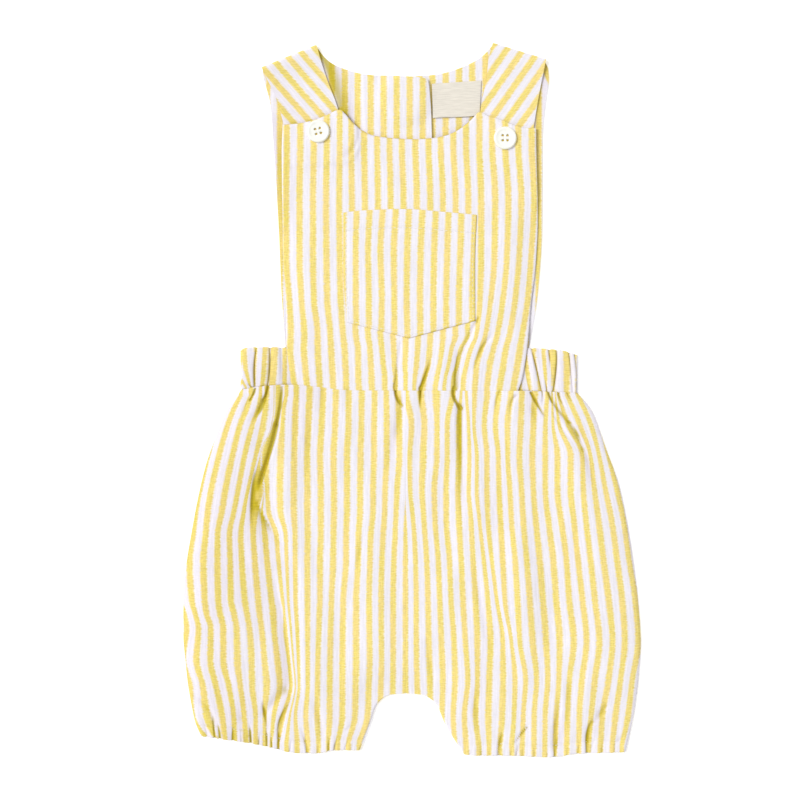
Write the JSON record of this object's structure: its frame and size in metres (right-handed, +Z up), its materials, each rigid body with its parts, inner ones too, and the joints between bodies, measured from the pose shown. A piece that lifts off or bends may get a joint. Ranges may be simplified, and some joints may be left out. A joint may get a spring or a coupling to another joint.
{
  "type": "baby overalls",
  "caption": "Baby bubble overalls laid flat, with a buttoned bib and pocket, crossed-over back straps, gathered waist sides and elastic leg hems.",
  "frame": {"origin": "centre of the garment's outline, on the surface that it lies on", "axes": "+Y towards the shoulder straps, +X towards the right of someone who looks down at the front, +Z up off the surface"},
  "size_m": [0.2896, 0.4517, 0.0101],
  "materials": {
    "striped_cloth": "yellow and white striped linen and cotton",
    "button": "cream, softly polished",
    "label_cloth": "woven ribbon"
  },
  "bodies": {
    "root": {"back_left": "striped_cloth", "back_right": "striped_cloth", "front_bib": "striped_cloth", "chest_pocket": "striped_cloth", "waistband": "striped_cloth", "shorts_front_left": "striped_cloth", "shorts_front_right": "striped_cloth", "shorts_back_left": "striped_cloth", "shorts_back_right": "striped_cloth", "button_left": "button", "button_right": "button", "button_back": "button", "neck_label": "label_cloth"}
  },
  "joints": []
}
